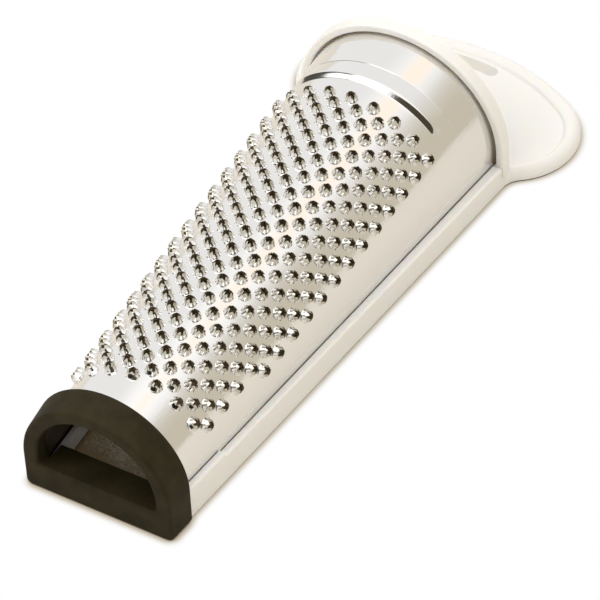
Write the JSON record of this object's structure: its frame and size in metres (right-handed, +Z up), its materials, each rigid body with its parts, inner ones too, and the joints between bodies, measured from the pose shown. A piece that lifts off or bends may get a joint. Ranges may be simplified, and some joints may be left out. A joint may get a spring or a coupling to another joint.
{
  "type": "nutmeg grater",
  "caption": "Hand-held half-round grater: a tapered steel blade of punched burr teeth in a one-piece plastic frame with a collar and paddle handle, and a rubber foot.",
  "frame": {"origin": "on the table, under the centre of the grater's bounding box", "axes": "+Y along the grater from the rubber foot to the handle, +Z up through the crest of the blade, +X across it"},
  "size_m": [0.0666, 0.1532, 0.0327],
  "materials": {
    "polished_steel": "polished stainless sheet",
    "white_plastic": "warm white moulded plastic, satin to gloss",
    "black_rubber": "matte warm black moulded rubber"
  },
  "bodies": {
    "root": {"grating_blade": "polished_steel", "frame": "white_plastic", "rubber_foot": "black_rubber"}
  },
  "joints": []
}
